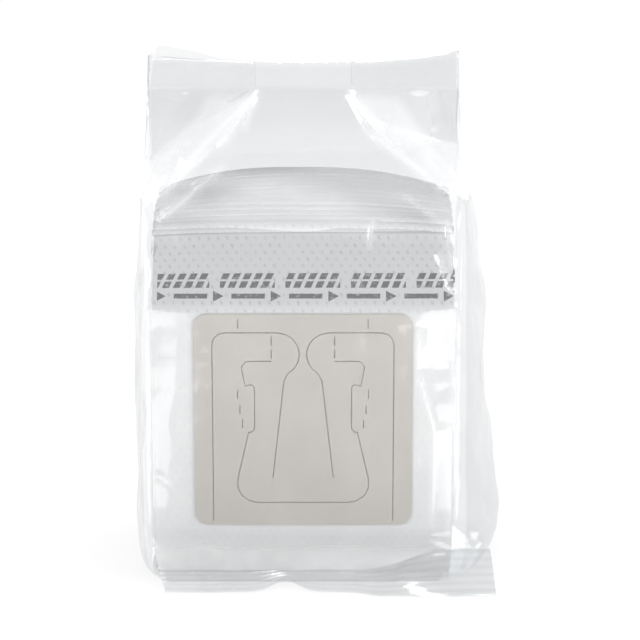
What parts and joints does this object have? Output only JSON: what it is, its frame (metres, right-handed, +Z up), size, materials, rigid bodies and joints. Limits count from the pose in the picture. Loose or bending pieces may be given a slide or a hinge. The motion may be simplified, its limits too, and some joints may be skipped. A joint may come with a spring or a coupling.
{
  "type": "pack of drip coffee filter bags",
  "caption": "Clear side-gusset film bag with a folded gable top and flat seal fin, holding a stack of flat white drip coffee filter pouches with paper ear cards.",
  "frame": {"origin": "centre of the flat base, on the surface that the pack stands on", "axes": "+Z up towards the seal fin, -Y towards the front face with the printed pouch, +X to the right of a person who looks at the front"},
  "size_m": [0.0943, 0.0656, 0.1301],
  "materials": {
    "film": "clear gloss film",
    "fabric": "white non-woven filter fabric",
    "card": "uncoated greige paper card"
  },
  "bodies": {
    "root": {"film_bag": "film", "pouch_01": "fabric", "ear_card_front_01": "card", "ear_card_rear_01": "card", "drip_bag_02": "fabric", "drip_bag_03": "fabric", "drip_bag_04": "fabric", "drip_bag_05": "fabric", "drip_bag_06": "fabric", "drip_bag_07": "fabric", "drip_bag_08": "fabric", "drip_bag_09": "fabric", "drip_bag_10": "fabric", "drip_bag_11": "fabric", "drip_bag_12": "fabric", "drip_bag_13": "fabric", "drip_bag_14": "fabric", "drip_bag_15": "fabric", "drip_bag_16": "fabric", "drip_bag_17": "fabric", "drip_bag_18": "fabric", "drip_bag_19": "fabric", "drip_bag_20": "fabric", "drip_bag_21": "fabric", "drip_bag_22": "fabric", "drip_bag_23": "fabric", "drip_bag_24": "fabric", "drip_bag_25": "fabric", "drip_bag_26": "fabric", "drip_bag_27": "fabric", "drip_bag_28": "fabric", "drip_bag_29": "fabric", "drip_bag_30": "fabric", "drip_bag_31": "fabric", "drip_bag_32": "fabric", "drip_bag_33": "fabric", "drip_bag_34": "fabric", "drip_bag_35": "fabric", "drip_bag_36": "fabric", "drip_bag_37": "fabric", "drip_bag_38": "fabric", "drip_bag_39": "fabric", "drip_bag_40": "fabric", "drip_bag_41": "fabric", "drip_bag_42": "fabric", "drip_bag_43": "fabric", "drip_bag_44": "fabric", "drip_bag_45": "fabric", "drip_bag_46": "fabric", "drip_bag_47": "fabric", "drip_bag_48": "fabric", "drip_bag_49": "fabric", "pouch_50": "fabric", "ear_card_front_50": "card", "ear_card_rear_50": "card"}
  },
  "joints": []
}
